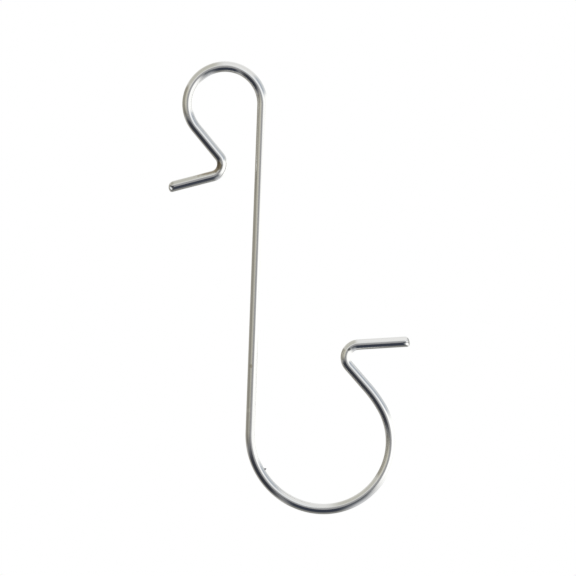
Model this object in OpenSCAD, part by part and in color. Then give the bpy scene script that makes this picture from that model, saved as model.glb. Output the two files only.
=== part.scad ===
// Ornament hook: one length of round steel wire, bent flat.
// A nearly closed loop at the top hangs on a twig, and a wider, open loop at the bottom carries the
// ornament. Each loop ends in a straight lead, a tight outward bend and a short straight tail.
//
// The hook lies in the XZ plane with its shank upright. The origin is the centre of the upper loop.
// The sizes follow a wire bender's sheet: straight lengths, inside radii and the angle of each bend.

/* [Wire] */
// Diameter of the wire
wire_d = 1.5; // [1:0.1:2]

/* [Shank] */
// Length of the straight shank between the two loops
shank_len = 46.3; // [38:0.1:80]

/* [Upper loop] */
// Inside diameter of the upper loop
upper_loop_d = 9.1; // [7:0.1:14]
// Angle that the wire turns through in the upper loop
upper_loop_turn = 221.5; // [205:0.5:230]
// Straight lead from the upper loop to its outward bend
upper_lead_len = 5.2; // [3:0.1:7]
// Inside radius of the upper outward bend
upper_bend_r = 1; // [0.4:0.05:2]
// Angle of the upper outward bend
upper_bend_turn = 115; // [90:0.5:130]
// Length of the upper tail, from its bend to its tip
upper_tail_len = 6.5; // [4:0.1:12]

/* [Lower loop] */
// Inside radius of the lower loop's wider start, next to the shank
lower_start_r = 9.7; // [6:0.1:14]
// Angle that the wire turns through in the wider start
lower_start_turn = 82; // [50:0.5:95]
// Inside diameter of the lower loop, past its wider start
lower_loop_d = 17.6; // [12:0.1:26]
// Angle that the wire turns through at that diameter
lower_loop_turn = 129.5; // [100:0.5:140]
// Inside radius where the lower loop opens out into its lead
lower_exit_r = 16.7; // [8:0.1:30]
// Angle that the wire turns through where the loop opens out
lower_exit_turn = 11.5; // [4:0.5:20]
// Straight lead from the lower loop to its outward bend
lower_lead_len = 4.1; // [2:0.1:8]
// Inside radius of the lower outward bend
lower_bend_r = 1.1; // [0.4:0.05:2.5]
// Angle of the lower outward bend
lower_bend_turn = 127.5; // [90:0.5:140]
// Length of the lower tail, from its bend to its tip
lower_tail_len = 7.3; // [4:0.1:12]

/* [Cut ends] */
// How far the top edge of the upper tail's end is rolled back from its tip
upper_tip_roll = 0.6; // [0.2:0.05:0.65]
// How far the top edge of the lower tail's end is rolled back from its tip
lower_tip_roll = 0.4; // [0.2:0.05:0.65]

/* [Hidden] */
$fn = 48;
wire_r = wire_d / 2;
// The tip of a cut end lies this share of the wire's radius off its axis
tip_offset_share = 0.25;
// How far a joint's bead stands proud of the wire, and how far past its joint a stretch starts
bead_rise = 0.002;
joint_gap = 0.01;
bright_steel = [0.74, 0.74, 0.71];

// Each stretch of wire starts a hair past its joint, with a bead that runs it into the stretch before,
// because round ends that only touch face to face may stay separate solids.
module bead() {
    sphere(r = wire_r + bead_rise);
}

// A straight length of wire along +Z. Its children go on from its far end.
module straight(len) {
    bead();
    translate([0, 0, joint_gap]) cylinder(h = len - joint_gap, r = wire_r);
    translate([0, 0, len]) children();
}

// A bend that starts along +Z and turns towards -X. Its children go on from its far end.
module bend(inside_r, turn) {
    axis_r = inside_r + wire_r;
    gap_angle = joint_gap / axis_r * 180 / PI;
    bead();
    translate([-axis_r, 0, 0]) {
        rotate([90, 0, 0])
            rotate_extrude(start = gap_angle, angle = turn - gap_angle)
                translate([axis_r, 0]) circle(r = wire_r);
        rotate([0, -turn, 0]) translate([axis_r, 0, 0]) children();
    }
}

// The same bend, turned towards +X
module bend_back(inside_r, turn) {
    mirror([1, 0, 0]) bend(inside_r, turn) mirror([1, 0, 0]) children();
}

// A straight tail along +Z. The shear rolled its +X edge back by roll, which leaves a domed end.
module tail(len, roll) {
    offset = wire_r * tip_offset_share;
    reach = wire_r + offset;
    dome_r = (reach * reach + roll * roll) / (2 * roll);
    dome_h = min(dome_r, wire_d);
    straight(len - dome_h)
        intersection() {
            cylinder(h = dome_h + roll, r = wire_r);
            translate([-offset, 0, dome_h - dome_r]) sphere(r = dome_r);
        }
}

// From the top of the shank, round the upper loop to its tail
module upper_half() {
    bend(upper_loop_d / 2, upper_loop_turn)
        straight(upper_lead_len)
            bend_back(upper_bend_r, upper_bend_turn)
                tail(upper_tail_len, upper_tip_roll);
}

// From the bottom of the shank, round the lower loop to its tail
module lower_half() {
    bend(lower_start_r, lower_start_turn)
        bend(lower_loop_d / 2, lower_loop_turn)
            bend(lower_exit_r, lower_exit_turn)
                straight(lower_lead_len)
                    bend_back(lower_bend_r, lower_bend_turn)
                        mirror([1, 0, 0]) tail(lower_tail_len, lower_tip_roll);
}

module hook_wire() {
    color(bright_steel)
        translate([upper_loop_d / 2 + wire_r, 0, 0]) {
            upper_half();
            rotate([0, 180, 0]) {
                cylinder(h = shank_len, r = wire_r);
                translate([0, 0, shank_len]) lower_half();
            }
        }
}

hook_wire();
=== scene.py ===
# %% [markdown]
# # A bent wire ornament hook
# The hook is one length of bright round wire, bent flat: a nearly closed loop at the top hangs on a
# twig, a wide open loop at the bottom carries the ornament, and each end turns outwards in a tight
# bend and a short tail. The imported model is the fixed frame, and everything below is built around it.

# %% Load the frame
import math

import bmesh
import bpy
import numpy as np
from mathutils import Matrix, Vector


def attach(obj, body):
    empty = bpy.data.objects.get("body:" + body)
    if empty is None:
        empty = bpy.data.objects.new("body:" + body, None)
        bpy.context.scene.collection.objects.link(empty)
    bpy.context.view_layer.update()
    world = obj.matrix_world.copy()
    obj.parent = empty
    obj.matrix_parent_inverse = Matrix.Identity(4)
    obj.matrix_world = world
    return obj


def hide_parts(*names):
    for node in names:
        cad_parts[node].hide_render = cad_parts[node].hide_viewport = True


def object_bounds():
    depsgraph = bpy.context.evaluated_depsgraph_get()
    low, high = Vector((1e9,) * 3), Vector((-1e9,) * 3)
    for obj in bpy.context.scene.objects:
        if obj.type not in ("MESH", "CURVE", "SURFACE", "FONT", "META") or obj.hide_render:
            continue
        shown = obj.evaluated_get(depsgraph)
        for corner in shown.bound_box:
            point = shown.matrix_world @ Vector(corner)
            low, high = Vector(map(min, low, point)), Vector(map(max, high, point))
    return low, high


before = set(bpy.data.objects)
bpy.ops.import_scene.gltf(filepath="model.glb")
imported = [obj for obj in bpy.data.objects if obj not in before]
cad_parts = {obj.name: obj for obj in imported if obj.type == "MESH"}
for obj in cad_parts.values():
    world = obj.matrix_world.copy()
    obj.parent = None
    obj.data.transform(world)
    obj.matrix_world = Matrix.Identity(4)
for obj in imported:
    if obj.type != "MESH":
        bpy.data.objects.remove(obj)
cad_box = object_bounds()
MM = 0.001
print("CAD box, mm:", [[round(v / MM, 3) for v in corner] for corner in cad_box])

# %% [markdown]
# ## Helpers
# Four small helpers serve the whole lesson. The first adds a node with its settings and links, for
# geometry and shader trees alike. The second turns a colour as a paint chart writes it into the
# linear light that a shader works in. The third mixes two such colours, and the fourth makes a plain
# mesh object.


# %% Helpers
def node(tree, kind, inputs=None, **settings):
    """Adds a node. An input is a value, a socket, or a node, which gives its first output."""
    made = tree.nodes.new(kind)
    for name, value in settings.items():
        setattr(made, name, value)
    for key, value in (inputs or {}).items():
        if isinstance(value, bpy.types.Node):
            value = value.outputs[0]
        if isinstance(value, bpy.types.NodeSocket):
            tree.links.new(value, made.inputs[key])
        else:
            made.inputs[key].default_value = value
    return made


def colour(chart):
    """An sRGB hex colour as linear red, green, blue and alpha."""
    parts = [int(chart[i:i + 2], 16) / 255 for i in (1, 3, 5)]
    linear = [p / 12.92 if p <= 0.04045 else ((p + 0.055) / 1.055) ** 2.4 for p in parts]
    return (*linear, 1.0)


def mixed(tree, share, low, high):
    """Mixes two colours. A Mix node set to colour takes them at sockets 6 and 7 and gives socket 2."""
    return node(tree, "ShaderNodeMix", {0: share, 6: low, 7: high}, data_type="RGBA").outputs[2]


def mesh_object(name, points, faces):
    """A new object with its place in its mesh."""
    mesh = bpy.data.meshes.new(name)
    mesh.from_pydata(points, [], faces)
    made = bpy.data.objects.new(name, mesh)
    bpy.context.scene.collection.objects.link(made)
    return made


# %% [markdown]
# ## The bender's sheet
# A wire bender feeds wire and bends it, feed after feed, so a sheet of straight lengths, inside radii
# and angles says all there is to say about a bent wire. The rows go from the upper tip to the lower
# one. A turn is anticlockwise, seen from the front, where it is positive.

# %% Sizes of the wire and of its stretches
WIRE_D = 1.5
WIRE_R = WIRE_D / 2
STRAIGHTS = {"Upper Tail": 6.5, "Upper Lead": 5.2, "Shank": 46.3, "Lower Lead": 4.1, "Lower Tail": 7.3}
BENDS = {  # inside radius in mm, turn in degrees
    "Upper Bend": (1.0, 115),
    "Upper Loop": (4.55, -221.5),
    "Lower Start": (9.7, 82),
    "Lower Loop": (8.8, 129.5),
    "Lower Exit": (16.7, 11.5),
    "Lower Bend": (1.1, -127.5),
}
ORDER = [
    "Upper Tail", "Upper Bend", "Upper Lead", "Upper Loop", "Shank", "Lower Start",
    "Lower Loop", "Lower Exit", "Lower Lead", "Lower Bend", "Lower Tail",
]
SHANK_HEADING = -90  # degrees from +X towards +Z, so the shank points straight down
run_length = dict(STRAIGHTS)
for name, (inside_r, turn) in BENDS.items():
    run_length[name] = (inside_r + WIRE_R) * math.radians(abs(turn))
starts_at = {name: sum(run_length[n] for n in ORDER[:i]) for i, name in enumerate(ORDER)}
wire_length = sum(run_length.values())
print(f"wire length {wire_length:.2f} mm in {len(ORDER)} stretches")

# %% [markdown]
# ## A tree that bends wire
# A swept wire could start from a curve drawn by hand, but its bends would then be no true arcs. This
# tree works as the bender does. A line of stations stands for the straight wire. Each bend adds its
# share to the heading of the stations past its start, and each station is laid one step on from the
# last, along its heading. A circle swept along that line is the wire. Every size is a named input.

# %% Inputs of the tree
STEP = 0.1  # between two stations, in mm
SIDES = 40
wire_tree = bpy.data.node_groups.new("bent_wire", "GeometryNodeTree")
sheet_values = {}


def add_input(name, kind, value, subtype="NONE"):
    """A named input of the tree. Its value is set on the modifier later, by the socket's identifier."""
    made = wire_tree.interface.new_socket(name=name, in_out="INPUT", socket_type=kind)
    if subtype != "NONE":
        made.subtype = subtype
    sheet_values[made.identifier] = value


add_input("Wire Diameter", "NodeSocketFloat", WIRE_D * MM, "DISTANCE")
for name in ORDER:
    if name in STRAIGHTS:
        add_input(f"{name} Length", "NodeSocketFloat", STRAIGHTS[name] * MM, "DISTANCE")
    else:
        add_input(f"{name} Inside Radius", "NodeSocketFloat", BENDS[name][0] * MM, "DISTANCE")
        add_input(f"{name} Turn", "NodeSocketFloat", math.radians(BENDS[name][1]), "ANGLE")
add_input("Step", "NodeSocketFloat", STEP * MM, "DISTANCE")
add_input("Sides", "NodeSocketInt", SIDES)
wire_tree.interface.new_socket(name="Finish", in_out="INPUT", socket_type="NodeSocketMaterial")
wire_tree.interface.new_socket(name="Wire", in_out="OUTPUT", socket_type="NodeSocketGeometry")
print("inputs:", [item.name for item in wire_tree.interface.items_tree if item.in_out == "INPUT"])

# %% [markdown]
# The stations stand a step apart. A stretch's place on the straight wire is the sum of the lengths
# before it, and a bend's length is its arc on the wire's axis.

# %% Stations on the straight wire
given = node(wire_tree, "NodeGroupInput").outputs
wire_r = node(wire_tree, "ShaderNodeMath", {0: given["Wire Diameter"], 1: 0.5}, operation="MULTIPLY")
begin, run = {}, {}
fed = node(wire_tree, "ShaderNodeValue")
for name in ORDER:
    begin[name] = fed
    if name in STRAIGHTS:
        run[name] = given[f"{name} Length"]
    else:
        axis_r = node(wire_tree, "ShaderNodeMath", {0: given[f"{name} Inside Radius"], 1: wire_r})
        angle = node(wire_tree, "ShaderNodeMath", {0: given[f"{name} Turn"]}, operation="ABSOLUTE")
        run[name] = node(wire_tree, "ShaderNodeMath", {0: axis_r, 1: angle}, operation="MULTIPLY")
    fed = node(wire_tree, "ShaderNodeMath", {0: fed, 1: run[name]})
steps_wanted = node(wire_tree, "ShaderNodeMath", {0: fed, 1: given["Step"]}, operation="DIVIDE")
steps = node(wire_tree, "ShaderNodeMath", {0: steps_wanted}, operation="ROUND")
step = node(wire_tree, "ShaderNodeMath", {0: fed, 1: steps}, operation="DIVIDE")
stations = node(wire_tree, "ShaderNodeMath", {0: steps, 1: 1.0})
line = node(wire_tree, "GeometryNodeMeshLine", {"Count": stations})
number = node(wire_tree, "GeometryNodeInputIndex")
along = node(wire_tree, "ShaderNodeMath", {0: number, 1: step}, operation="MULTIPLY")

# %% [markdown]
# The heading is an angle from +X towards +Z. The shank's is known, so the wire starts at that heading
# less the turns that come before the shank. The heading is taken halfway to the next station, which
# keeps each arc's radius true.

# %% Heading of each station
halfway = node(wire_tree, "ShaderNodeMath", {0: step, 1: 0.5, 2: along}, operation="MULTIPLY_ADD")
heading = node(wire_tree, "ShaderNodeValue")
heading.outputs[0].default_value = math.radians(SHANK_HEADING)
for name in ORDER[:ORDER.index("Shank")]:
    if name in BENDS:
        turn = given[f"{name} Turn"]
        heading = node(wire_tree, "ShaderNodeMath", {0: heading, 1: turn}, operation="SUBTRACT")
for name in BENDS:
    turn = given[f"{name} Turn"]
    bend_end = node(wire_tree, "ShaderNodeMath", {0: begin[name], 1: run[name]})
    turned = node(
        wire_tree, "ShaderNodeMapRange",
        {"Value": halfway, "From Min": begin[name], "From Max": bend_end, "To Max": turn},
    )
    heading = node(wire_tree, "ShaderNodeMath", {0: heading, 1: turned})

# %% [markdown]
# Accumulate Field adds up the steps before each station. The bent line is then moved so that the top
# of the shank lies beside the origin, which is the centre of the upper loop.

# %% Lay the stations one after another
step_x = node(wire_tree, "ShaderNodeMath", {0: heading}, operation="COSINE")
step_z = node(wire_tree, "ShaderNodeMath", {0: heading}, operation="SINE")
direction = node(wire_tree, "ShaderNodeCombineXYZ", {"X": step_x, "Z": step_z})
stride = node(wire_tree, "ShaderNodeVectorMath", {0: direction, "Scale": step}, operation="SCALE")
summed = node(wire_tree, "GeometryNodeAccumulateField", data_type="FLOAT_VECTOR")
wire_tree.links.new(stride.outputs[0], summed.inputs[0])
trail = summed.outputs["Trailing"]
bent = node(wire_tree, "GeometryNodeSetPosition", {"Geometry": line, "Position": trail})
axis_curve = node(wire_tree, "GeometryNodeMeshToCurve", {"Mesh": bent})
shank_top = node(wire_tree, "GeometryNodeSampleCurve", {"Curves": axis_curve}, mode="LENGTH")
wire_tree.links.new(begin["Shank"].outputs[0], shank_top.inputs["Length"])
loop_r = node(wire_tree, "ShaderNodeMath", {0: given["Upper Loop Inside Radius"], 1: wire_r})
shank_place = node(wire_tree, "ShaderNodeCombineXYZ", {"X": loop_r})
shift = node(
    wire_tree, "ShaderNodeVectorMath",
    {0: shank_place, 1: shank_top.outputs["Position"]}, operation="SUBTRACT",
)
placed = node(wire_tree, "GeometryNodeSetPosition", {"Geometry": axis_curve, "Offset": shift})

# %% [markdown]
# The finish has lines that run along the wire, so its patterns need to know where a point lay on the
# straight wire. Each station's place, its left side and its distance from the tip are captured before
# the sweep. After it, they give every surface point its coordinates on the straight wire, which are
# stored as an attribute: left of the axis, in front of it, and along it.

# %% Sweep the wire and mark where each point lay on the straight wire
tangent = node(wire_tree, "GeometryNodeInputTangent")
left = node(wire_tree, "ShaderNodeVectorMath", {0: tangent, 1: (0, 1, 0)}, operation="CROSS_PRODUCT")
captured = node(wire_tree, "GeometryNodeCaptureAttribute", {"Geometry": placed})
for kind, label, field in (
    ("VECTOR", "Axis Point", node(wire_tree, "GeometryNodeInputPosition")),
    ("VECTOR", "Left", left),
    ("FLOAT", "Along", along),
):
    captured.capture_items.new(kind, label)
    wire_tree.links.new(field.outputs[0], captured.inputs[label])
profile = node(
    wire_tree, "GeometryNodeCurvePrimitiveCircle", {"Resolution": given["Sides"], "Radius": wire_r}
)
swept = node(wire_tree, "GeometryNodeCurveToMesh", {"Curve": captured, "Profile Curve": profile})
place = node(wire_tree, "GeometryNodeInputPosition")
off_axis = node(
    wire_tree, "ShaderNodeVectorMath", {0: place, 1: captured.outputs["Axis Point"]}, operation="SUBTRACT"
)
to_left = node(
    wire_tree, "ShaderNodeVectorMath", {0: off_axis, 1: captured.outputs["Left"]}, operation="DOT_PRODUCT"
)
to_front = node(wire_tree, "ShaderNodeVectorMath", {0: off_axis, 1: (0, -1, 0)}, operation="DOT_PRODUCT")
straight_place = node(
    wire_tree, "ShaderNodeCombineXYZ",
    {"X": to_left.outputs["Value"], "Y": to_front.outputs["Value"], "Z": captured.outputs["Along"]},
)
marked = node(
    wire_tree, "GeometryNodeStoreNamedAttribute",
    {"Geometry": swept, "Name": "straight_wire", "Value": straight_place}, data_type="FLOAT_VECTOR",
)
smooth = node(wire_tree, "GeometryNodeSetShadeSmooth", {"Geometry": marked})
realized = node(wire_tree, "GeometryNodeRealizeInstances", {"Geometry": smooth})
finished = node(wire_tree, "GeometryNodeSetMaterial", {"Geometry": realized, "Material": given["Finish"]})
node(wire_tree, "NodeGroupOutput", {"Wire": finished})
print("tree nodes:", len(wire_tree.nodes))

# %% [markdown]
# ## Bend the wire
# The modifier gets the sheet's values, the evaluated result becomes a plain mesh, and the modifier
# goes with the object that carried it.

# %% Make the swept mesh
wire_finish = bpy.data.materials.new("nickel_plated_drawn_steel")
blank = mesh_object("blank_wire", [], [])
bender = blank.modifiers.new("bender", "NODES")
bender.node_group = wire_tree
for identifier, value in sheet_values.items():
    bender[identifier] = value
for item in wire_tree.interface.items_tree:
    if item.in_out == "INPUT" and item.name == "Finish":
        bender[item.identifier] = wire_finish
depsgraph = bpy.context.evaluated_depsgraph_get()
wire_mesh = bpy.data.meshes.new_from_object(blank.evaluated_get(depsgraph), depsgraph=depsgraph)
bpy.data.objects.remove(blank)
wire_mesh.name = "bent_wire"
print("swept wire:", len(wire_mesh.vertices), "vertices,", len(wire_mesh.polygons), "faces")

# %% [markdown]
# ## Sheared ends
# Both ends were sheared off. The blade rolls the wire's top edge back before it breaks through, which
# leaves a low dome with its crown below the axis, and the cut breaks the edge all round to a small
# radius. The last rings of the sweep are laid out anew here: down the straight side to the edge,
# round the edge, and over the dome to its pole. The dome is part of a sphere, as in the frame. Both
# domes are bare steel. A mask marks them for the finish, at one value for a clean break and at another
# for a torn one.

# %% Read the swept mesh
vertex_count = len(wire_mesh.vertices)
points = np.empty(vertex_count * 3, np.float32)
wire_mesh.vertices.foreach_get("co", points)
points = points.reshape(-1, 3).astype(float) / MM
straight = np.empty(vertex_count * 3, np.float32)
wire_mesh.attributes["straight_wire"].data.foreach_get("vector", straight)
straight = straight.reshape(-1, 3).astype(float) / MM
ring_gap = wire_length / round(wire_length / STEP)
ring_number = np.rint(straight[:, 2] / ring_gap)
bare = np.zeros(vertex_count)
print("rings:", int(ring_number.max()) + 1, "gap, mm:", round(ring_gap, 4))

# %% Shape a cut end
CROWN_SHARE = 0.25  # of the wire's radius
CROWN_OFFSET = CROWN_SHARE * WIRE_R
DOME_RINGS = 9
EDGE_RINGS = 5
SIDE_RINGS = 6
END_RINGS = DOME_RINGS + EDGE_RINGS + SIDE_RINGS
BARE_RINGS = DOME_RINGS + 3  # the bare steel ends this many rings from the tip
BARE_FADE = 2  # and fades over this many
CLEAN_BREAK = 0.5
TORN_BREAK = 1.0


def shape_cut_end(rings_from_tip, heading, roll, edge_break, bareness):
    """Lays the rings nearest a tip over the sheared end. heading points off the tip, in degrees. roll
    and edge_break are in mm, and bareness is CLEAN_BREAK or TORN_BREAK."""
    outward = np.array([math.cos(math.radians(heading)), 0, math.sin(math.radians(heading))])
    up_side = np.array([-outward[2], 0, outward[0]])
    up_side *= np.sign(up_side[2])
    reach = WIRE_R + CROWN_OFFSET
    dome_r = (reach ** 2 + roll ** 2) / (2 * roll)
    tip = points[rings_from_tip == 0].mean(0)
    end = rings_from_tip <= END_RINGS
    rings = rings_from_tip[end]
    side = points[end] - tip
    side -= np.outer(side @ outward, outward)
    side /= WIRE_R

    def dome_depth(radius):
        """How far below the crown the dome lies, at this distance from the axis."""
        place = side * radius[:, None] + up_side * CROWN_OFFSET
        return dome_r - np.sqrt(dome_r ** 2 - (place ** 2).sum(1))

    rim_r = np.full(len(rings), WIRE_R)
    rim_depth = dome_depth(rim_r)
    dome_place = (rim_r - edge_break) * np.clip(rings / DOME_RINGS, 0, 1)
    round_edge = np.clip((rings - DOME_RINGS) / EDGE_RINGS, 0, 1)
    inner, outer = (1 - round_edge) ** 2, round_edge ** 2
    corner = 1 - inner - outer
    radius = inner * dome_place + (corner + outer) * rim_r
    depth = inner * dome_depth(dome_place) + corner * rim_depth + outer * (rim_depth + edge_break)
    down_side = np.clip((rings - DOME_RINGS - EDGE_RINGS) / SIDE_RINGS, 0, 1)
    depth += down_side * (END_RINGS * ring_gap - depth)
    points[end] = tip + side * radius[:, None] - np.outer(depth, outward)
    straight[end, :2] *= (radius / rim_r)[:, None]
    straight[end, 2] = np.where(straight[end, 2] < wire_length / 2, depth, wire_length - depth)
    bare[end] = bareness * np.clip((BARE_RINGS - rings) / BARE_FADE, 0, 1)


# %% Shape both ends
UPPER_CUT = {"roll": 0.6, "edge_break": 0.22, "bareness": CLEAN_BREAK}
LOWER_CUT = {"roll": 0.4, "edge_break": 0.26, "bareness": TORN_BREAK}
lower_turns = sum(turn for name, (_, turn) in BENDS.items() if name.startswith("Lower"))
upper_heading = SHANK_HEADING - BENDS["Upper Bend"][1] - BENDS["Upper Loop"][1] + 180
lower_heading = SHANK_HEADING + lower_turns
shape_cut_end(ring_number, upper_heading, **UPPER_CUT)
shape_cut_end(ring_number.max() - ring_number, lower_heading, **LOWER_CUT)
wire_mesh.vertices.foreach_set("co", (points * MM).astype(np.float32).ravel())
straight_wire = wire_mesh.attributes["straight_wire"]
straight_wire.data.foreach_set("vector", (straight * MM).astype(np.float32).ravel())
bare_steel = wire_mesh.attributes.new("bare_steel", "FLOAT", "POINT")
bare_steel.data.foreach_set("value", bare.astype(np.float32))
print("headings off the tips:", upper_heading, lower_heading)

# %% [markdown]
# ## Flats and a burr
# The cutter's jaws press a small flat into the front of each end as they close, and a flat catches
# the light all at once. A burr of torn plating stands on the inner side where the lower loop starts.
# The sweep's faces are too coarse for such small forms, so the faces there are split first, and their
# corners are then pressed in or pulled out. Places are on the straight wire: left of its axis, in front
# of it, and along it from the upper tip.

# %% Close the poles and split the faces around the small forms
FLATS = (  # left, front, along, half its width, and its slopes along the wire and leftwards
    (-0.2, 0.57, 0.19, 0.35, -0.125, -0.10),
    (-0.34, 0.51, wire_length - 0.31, 0.24, -0.35, 0.12),
)
FLAT_REACH = 1.3  # half widths from its middle to where a flat has faded out
FLAT_FADE = 0.5  # half widths that it fades over
FLAT_SPLIT = 1.8  # half widths from its middle to the last face that is split
BURR = (0.74, 0.12, starts_at["Lower Start"] + 5.78)
BURR_RADIUS = 0.11
BURR_HEIGHT = 0.25
BURR_REACH = 4  # of its radii
SPLIT_CUTS = 2
MERGE = 0.0005  # closes each pole, where a whole ring has shrunk to a point
shaping = bmesh.new()
shaping.from_mesh(wire_mesh)
bmesh.ops.remove_doubles(shaping, verts=shaping.verts, dist=MERGE * MM)
on_wire = shaping.verts.layers.float_vector["straight_wire"]
split_places = [(flat[:3], FLAT_SPLIT * flat[3]) for flat in FLATS]
split_places.append((BURR, BURR_REACH * BURR_RADIUS))
for place, reach in split_places:
    middle = Vector(place) * MM
    near = {vert for vert in shaping.verts if (vert[on_wire] - middle).length < reach * MM}
    edges = [edge for edge in shaping.edges if near.issuperset(edge.verts)]
    bmesh.ops.subdivide_edges(shaping, edges=edges, cuts=SPLIT_CUTS, use_grid_fill=True)
    print("split", len(edges), "edges near", [round(v, 2) for v in place])

# %% Press the flats and pull out the burr
bmesh.ops.recalc_face_normals(shaping, faces=shaping.faces)
shaping.normal_update()
for vert in shaping.verts:
    left, front, along = vert[on_wire] / MM
    for flat_left, flat_front, flat_along, half, rise_along, rise_left in FLATS:
        away = math.hypot(left - flat_left, along - flat_along) / half
        level = flat_front + rise_along * (along - flat_along) + rise_left * (left - flat_left)
        if away < FLAT_REACH and front > level:
            vert.co.y += (front - level) * min(1, (FLAT_REACH - away) / FLAT_FADE) * MM
    from_burr = math.dist((left, front, along), BURR) / BURR_RADIUS
    if from_burr < BURR_REACH:
        vert.co += vert.normal * BURR_HEIGHT * math.exp(-from_burr ** 2) * MM

# %% [markdown]
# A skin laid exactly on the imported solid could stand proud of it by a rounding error. It is drawn in by
# a hair instead, which is far too little to see.

# %% Lay the skin just inside the frame
SKIN_GAP = 0.008
shaping.normal_update()
for vert in shaping.verts:
    vert.co -= vert.normal * SKIN_GAP * MM
open_edges = sum(not edge.is_manifold for edge in shaping.edges)
shaping.to_mesh(wire_mesh)
shaping.free()
hook_wire = bpy.data.objects.new("bent_hook_wire", wire_mesh)
bpy.context.scene.collection.objects.link(hook_wire)
places = np.array([vert.co for vert in wire_mesh.vertices]) / MM
print("wire:", len(wire_mesh.polygons), "faces,", open_edges, "open edges")
print("wire box, mm:", places.min(0).round(3).tolist(), places.max(0).round(3).tolist())

# %% [markdown]
# ## The finish: nickel-plated drawn steel wire
# Wire is pulled through a polished die, which leaves faint lines along it, and a thin bright nickel
# plate covers them. The eye gets sharp mirror bands along the wire, slightly softened and streaked.
# The patterns read the straight wire's coordinates, so the lines follow every bend.

# %% Coordinates and die lines
wire_finish.use_nodes = True
shader = wire_finish.node_tree
shader.nodes.clear()
LINE_WIDTH = 0.2  # real die lines are a few hundredths of a millimetre wide and would not show
LINE_LENGTH = 14.0
LINE_HEIGHT = 0.0006  # so low that a line bends a reflection and no more
STREAKS = {"From Min": 0.35, "From Max": 0.65}  # the noise's middle range, where most of it lies
LINE_ROUGHNESS = 0.13
PLATE_ROUGHNESS = 0.09  # between the lines
NOISE_DETAIL = 2.0
wire_place = node(shader, "ShaderNodeAttribute", attribute_name="straight_wire").outputs["Vector"]
lines_scale = (1 / (LINE_WIDTH * MM), 1 / (LINE_WIDTH * MM), 1 / (LINE_LENGTH * MM))
lines_place = node(shader, "ShaderNodeMapping", {"Vector": wire_place, "Scale": lines_scale})
die_lines = node(
    shader, "ShaderNodeTexNoise", {"Vector": lines_place, "Scale": 1.0, "Detail": NOISE_DETAIL}
)
streaked = node(shader, "ShaderNodeMapRange", {"Value": die_lines.outputs[0], **STREAKS})
plate = mixed(shader, streaked, colour("#DBDBD9"), colour("#E5E5E3"))
roughness = node(
    shader, "ShaderNodeMapRange", {"Value": streaked, "To Min": LINE_ROUGHNESS, "To Max": PLATE_ROUGHNESS}
)

# %% [markdown]
# Where an end broke, bare steel shows, dulled by fine ridges that run the way the blade went. The
# upper end broke clean and looks frosted, and its near-white tone paints a glint on that end. The lower
# one tore, which leaves it darker. The mask's first half brings in the frosted steel with its painted
# glint, and its second half the torn steel.

# %% Torn steel at the ends
TEAR_WIDTH = 0.09
TEAR_LENGTH = 1.2
BARE_ROUGHNESS = 0.45
bare_mask = node(shader, "ShaderNodeAttribute", attribute_name="bare_steel").outputs["Fac"]
tears_scale = (1 / (TEAR_LENGTH * MM), 1 / (TEAR_WIDTH * MM), 1 / (TEAR_WIDTH * MM))
tears_place = node(shader, "ShaderNodeMapping", {"Vector": wire_place, "Scale": tears_scale})
tears = node(shader, "ShaderNodeTexNoise", {"Vector": tears_place, "Scale": 1.0, "Detail": NOISE_DETAIL})
# frosted bare steel, lightened to a near-white that paints the upper end's glint
frosted_and_glint = mixed(shader, tears, colour("#E2E1DD"), colour("#F4F3F0"))
torn = mixed(shader, tears, colour("#85847F"), colour("#B3B2AD"))
cut_part = node(shader, "ShaderNodeMapRange", {"Value": bare_mask, "From Max": CLEAN_BREAK})
torn_part = node(shader, "ShaderNodeMapRange", {"Value": bare_mask, "From Min": CLEAN_BREAK})
painted = mixed(shader, torn_part, mixed(shader, cut_part, plate, frosted_and_glint), torn)
dulled = node(shader, "ShaderNodeMix", {0: cut_part, 2: roughness, 3: BARE_ROUGHNESS})

# %% [markdown]
# Handling leaves its marks on a thin plate, and brown patches paint the shade in the tight fold of the
# upper bend and run on to the tail. The bending pin scuffed the lower bend, the burr has lost its plate,
# and the cutter dulled the upper tip. Low on the shank are a dull spot and one that a jaw polished. Each
# mark is a rounded patch with a ragged edge.

# %% Scuffs, and painted shade in the upper fold
upper_bend = starts_at["Upper Bend"]
MARKS_AND_SHADE = (  # middle and half size, each left, front and along in mm, then colour, strength and roughness
    # the first three rows are painted shade: brown patches in the upper bend's fold and on the tail
    ((0.48, 0.50, upper_bend + 1.8), (0.56, 1.00, 1.40), "#837B6C", 1.0, 0.20),
    ((0.62, 0.40, upper_bend - 0.2), (0.30, 0.60, 2.20), "#A09482", 0.8, 0.22),
    ((0.74, 0.10, upper_bend + 1.25), (0.22, 0.55, 0.75), "#6B5743", 0.35, 0.34),
    ((-0.05, 0.75, starts_at["Lower Bend"] + 2.64), (0.20, 0.40, 0.28), "#7E7E7A", 1.0, 0.25),
    (BURR, (0.22, 0.30, 0.20), "#5E5E63", 1.0, 0.40),
    ((0.40, 0.60, 0.66), (0.26, 0.40, 0.22), "#B4B3AC", 0.7, 0.30),
    ((-0.30, 0.68, starts_at["Shank"] + 36.9), (0.24, 0.40, 0.30), "#C8C4BA", 1.0, 0.18),
    ((-0.45, 0.55, starts_at["Shank"] + 43.2), (0.35, 0.50, 0.30), "#F2F2F0", 0.8, 0.20),
)
RAGGED = 0.35  # size of the ragged edge's bays, in mm
RAGGED_DEPTH = 1.2  # in half sizes
RAGGED_DETAIL = 3.0
MARK_EDGE = {"From Min": 1.8, "From Max": 1.1}  # in half sizes, with the noise's mean of 0.5 added
ragged_edge = node(
    shader, "ShaderNodeTexNoise",
    {"Vector": wire_place, "Scale": 1 / (RAGGED * MM), "Detail": RAGGED_DETAIL},
)
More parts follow.
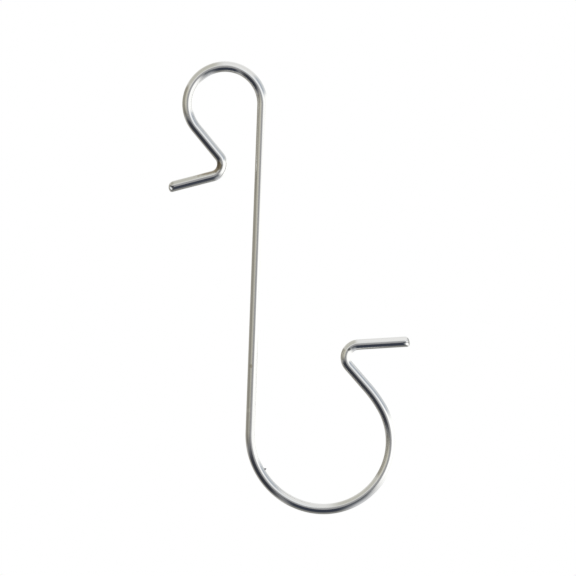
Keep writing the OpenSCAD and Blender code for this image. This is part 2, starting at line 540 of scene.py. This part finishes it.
for middle, half, tint, strength, rough in MARKS_AND_SHADE:
    offset = tuple(-m / h for m, h in zip(middle, half))
    scale = tuple(1 / (h * MM) for h in half)
    from_middle = node(
        shader, "ShaderNodeMapping", {"Vector": wire_place, "Location": offset, "Scale": scale}
    )
    away = node(shader, "ShaderNodeVectorMath", {0: from_middle}, operation="LENGTH").outputs["Value"]
    away = node(
        shader, "ShaderNodeMath", {0: ragged_edge, 1: RAGGED_DEPTH, 2: away}, operation="MULTIPLY_ADD"
    )
    cover = node(
        shader, "ShaderNodeMapRange", {"Value": away, "To Max": strength, **MARK_EDGE},
        interpolation_type="SMOOTHSTEP",
    )
    painted = mixed(shader, cover, painted, colour(tint))
    dulled = node(shader, "ShaderNodeMix", {0: cover, 2: dulled, 3: rough})

# %% [markdown]
# The die lines are also a faint relief. The metal has a plain metal's reflection at every angle, so
# its colour and roughness say the rest.

# %% Relief and metal
relief = node(shader, "ShaderNodeBump", {"Height": die_lines.outputs[0], "Distance": LINE_HEIGHT * MM})
metal = node(
    shader, "ShaderNodeBsdfPrincipled",
    {"Base Color": painted, "Roughness": dulled, "Metallic": 1.0, "Normal": relief},
)
node(shader, "ShaderNodeOutputMaterial", {"Surface": metal})
print("shader nodes:", len(shader.nodes))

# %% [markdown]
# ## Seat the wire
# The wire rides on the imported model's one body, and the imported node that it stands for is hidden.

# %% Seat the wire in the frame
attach(hook_wire, "root")
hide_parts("hook_wire")

# %% [markdown]
# ## The studio
# Bright wire is a mirror, so it looks like what stands around it. The room is white, and matt surfaces
# get a little less light from it than the camera and the metal see. A dome of soft cards, which only
# reflections see, hangs round the hook. A card's place is its turn, in degrees from +X towards +Z, and
# its tilt away from the direction that faces the camera.

# %% White room
room = bpy.data.worlds.new("white_room")
bpy.context.scene.world = room
room.use_nodes = True
room_tree = room.node_tree
room_tree.nodes.clear()
ROOM_LIGHT = 0.8
ray = node(room_tree, "ShaderNodeLightPath").outputs
seen = ray["Is Camera Ray"]
for other in ("Is Glossy Ray", "Is Transmission Ray"):
    seen = node(room_tree, "ShaderNodeMath", {0: seen, 1: ray[other]}, operation="MAXIMUM")
strength = node(room_tree, "ShaderNodeMapRange", {"Value": seen, "To Min": ROOM_LIGHT, "To Max": 1.0})
background = node(room_tree, "ShaderNodeBackground", {"Color": colour("#FFFFFF"), "Strength": strength})
node(room_tree, "ShaderNodeOutputWorld", {"Surface": background})

# %% Dome of soft cards
CARD_COLUMNS = 24
CARD_ROWS = 16
centre = (cad_box[0] + cad_box[1]) / 2


def dome_card(name, turn, tilt, near, far, strength, shade, soft, radius):
    """A card over a range of turns and tilts. Its colour goes from near to far over the tilts in shade,
    and its edges fade out over soft degrees of turn and of tilt. An edge at a pole has no fade."""
    points, corners = [], []
    for column in range(CARD_COLUMNS + 1):
        for row in range(CARD_ROWS + 1):
            across = turn[0] + (turn[1] - turn[0]) * column / CARD_COLUMNS
            down = tilt[0] + (tilt[1] - tilt[0]) * row / CARD_ROWS
            a, b = math.radians(across), math.radians(down)
            aside = Vector((math.sin(b) * math.cos(a), -math.cos(b), math.sin(b) * math.sin(a)))
            points.append(centre + radius * aside)
            corners.append((across, down))
    rows = CARD_ROWS + 1
    faces = [
        (i * rows + j, i * rows + j + 1, (i + 1) * rows + j + 1, (i + 1) * rows + j)
        for i in range(CARD_COLUMNS) for j in range(CARD_ROWS)
    ]
    card = mesh_object(name, points, faces)
    places = card.data.uv_layers.new(name="turn_and_tilt")
    for loop in card.data.loops:
        places.data[loop.index].uv = corners[loop.vertex_index]
    finish = bpy.data.materials.new(name)
    finish.use_nodes = True
    tree = finish.node_tree
    tree.nodes.clear()
    uv = node(tree, "ShaderNodeUVMap", uv_map="turn_and_tilt")
    place = node(tree, "ShaderNodeSeparateXYZ", {0: uv}).outputs
    shaded = node(
        tree, "ShaderNodeMapRange", {"Value": place["Y"], "From Min": shade[0], "From Max": shade[1]},
        interpolation_type="SMOOTHSTEP",
    )
    paint = mixed(tree, shaded, colour(near), colour(far))
    edges = [
        ("Y", end, end + fade) for end, fade in zip(tilt, (soft[1], -soft[1])) if end not in (0, 180)
    ]
    if turn[1] - turn[0] < 360:
        edges += [("X", turn[0], turn[0] + soft[0]), ("X", turn[1], turn[1] - soft[0])]
    mask = node(tree, "ShaderNodeValue")
    mask.outputs[0].default_value = 1.0
    for axis, edge, inside in edges:
        fade = node(
            tree, "ShaderNodeMapRange", {"Value": place[axis], "From Min": edge, "From Max": inside},
            interpolation_type="SMOOTHSTEP",
        )
        mask = node(tree, "ShaderNodeMath", {0: mask, 1: fade}, operation="MULTIPLY")
    glow = node(tree, "ShaderNodeEmission", {"Color": paint, "Strength": strength})
    clear = node(tree, "ShaderNodeBsdfTransparent")
    soft_edge = node(tree, "ShaderNodeMixShader", {0: mask, 1: clear, 2: glow})
    node(tree, "ShaderNodeOutputMaterial", {"Surface": soft_edge})
    card.data.materials.append(finish)
    for sight in ("camera", "diffuse", "shadow", "transmission", "volume_scatter"):
        setattr(card, f"visible_{sight}", False)


# %% [markdown]
# A large window stands at the right, with a bluish card in front of its upper part and a ceiling light
# above it. Warm walls close the left side. A dark flag below left, a grey one below and a smaller card
# below right draw the dark bands that make a mirror look like metal. A plain grey card closes the side
# that the camera stands on. The cards hang at radii a little apart, so that no two share a surface.

# %% Hang the cards
CARDS = (  # name, turn, tilt, near and far colour, strength, shade, soft, radius in metres
    ("window", (-46, 41), (4, 180), "#FFFFFF", "#FFFFFF", 1.36, (75, 130), (20, 26), 0.56),
    ("blue_card", (15, 55), (40, 150), "#B2BCCC", "#E8EBEE", 1.0, (45, 110), (12, 12), 0.52),
    ("ceiling_light", (17, 90), (7, 34), "#F6FAFF", "#F6FAFF", 1.16, (75, 130), (16, 10), 0.54),
    ("upper_left_wall", (92, 163), (24, 165), "#D3D2C9", "#E3E1DB", 1.0, (95, 120), (18, 24), 0.55),
    ("left_wall", (148, 198), (17, 180), "#D7D4C7", "#A9A599", 1.0, (54, 68), (8, 16), 0.53),
    ("dark_flag", (172, 264), (10, 180), "#3E4048", "#B5B2AB", 1.0, (84, 124), (34, 14), 0.51),
    ("grey_flag", (238.5, 310), (12, 180), "#3C414E", "#9C9C98", 1.0, (64, 114), (12, 10), 0.5),
    ("lower_right_card", (282, 325), (8, 180), "#565C64", "#E0E1E5", 1.0, (14, 112), (20, 6), 0.49),
    ("camera_side", (0, 360), (0, 29), "#ABABAD", "#ABABAD", 1.0, (75, 130), (0, 10), 0.6),
)
for card in CARDS:
    dome_card(*card)
print("cards:", [card[0] for card in CARDS])

# %% [markdown]
# ## Floor and lamp
# A pale floor lies well below the hook and takes its soft shadow. It fades to the room's white before
# its edge, so that no rim shows. The cards make the metal's surroundings, so reflections leave out
# the floor and the lamp.

# %% Floor
FLOOR_Z = -0.10
FLOOR_R = 0.5
FLOOR_SIDES = 64
FLOOR_FADE = {"From Min": 0.2 * FLOOR_R, "From Max": 0.9 * FLOOR_R}
circle = [2 * math.pi * i / FLOOR_SIDES for i in range(FLOOR_SIDES)]
rim = [(centre.x + FLOOR_R * math.cos(a), FLOOR_R * math.sin(a), FLOOR_Z) for a in circle]
floor = mesh_object("floor", rim, [tuple(range(FLOOR_SIDES))])
paint = bpy.data.materials.new("pale_floor_paint")
paint.use_nodes = True
paint_tree = paint.node_tree
paint_tree.nodes.clear()
floor_place = node(paint_tree, "ShaderNodeTexCoord").outputs["Object"]
from_middle = node(
    paint_tree, "ShaderNodeVectorMath", {0: floor_place, 1: (centre.x, 0, FLOOR_Z)}, operation="DISTANCE"
)
to_edge = node(
    paint_tree, "ShaderNodeMapRange",
    {"Value": from_middle.outputs["Value"], **FLOOR_FADE},
    interpolation_type="SMOOTHSTEP",
)
matt = node(paint_tree, "ShaderNodeBsdfDiffuse", {"Color": colour("#F2F2F0")})
white = node(paint_tree, "ShaderNodeEmission", {"Color": colour("#FFFFFF")})
faded = node(paint_tree, "ShaderNodeMixShader", {0: to_edge, 1: matt, 2: white})
node(paint_tree, "ShaderNodeOutputMaterial", {"Surface": faded})
floor.data.materials.append(paint)
floor.visible_glossy = False

# %% Lamp
LAMP_POWER = 2.0
LAMP_SIZE = 0.25
LAMP_PLACE = (0.5, -0.5, 0.7)
lamp_data = bpy.data.lights.new("soft_lamp", "AREA")
lamp_data.shape = "DISK"
lamp_data.size = LAMP_SIZE
lamp_data.energy = LAMP_POWER
lamp = bpy.data.objects.new("soft_lamp", lamp_data)
lamp.location = LAMP_PLACE
lamp.rotation_euler = (centre - lamp.location).to_track_quat("-Z", "Y").to_euler()
lamp.visible_glossy = False
lamp.visible_camera = False
bpy.context.scene.collection.objects.link(lamp)

# %% [markdown]
# ## Camera
# The camera faces the flat of the hook square on, from so far off that perspective hardly shows. It is
# rolled a little, so that the shank's top leans to the right in the picture.

# %% Camera
VIEW_WIDTH = 81.46  # at the hook, in mm
LENS_DISTANCE = 0.9
AIM = Vector((9.83, 0, -25.68)) * MM
LEAN = math.radians(2.05)
SENSOR = 36.0
camera_data = bpy.data.cameras.new("camera")
camera_data.sensor_width = SENSOR
camera_data.lens = SENSOR * LENS_DISTANCE / (VIEW_WIDTH * MM)
camera = bpy.data.objects.new("camera", camera_data)
camera.matrix_world = (
    Matrix.Translation(AIM + Vector((0, -LENS_DISTANCE, 0)))
    @ Matrix.Rotation(-LEAN, 4, "Y")
    @ Matrix.Rotation(math.radians(90), 4, "X")
)
bpy.context.scene.collection.objects.link(camera)
bpy.context.scene.camera = camera
bpy.context.scene.view_settings.view_transform = "Standard"
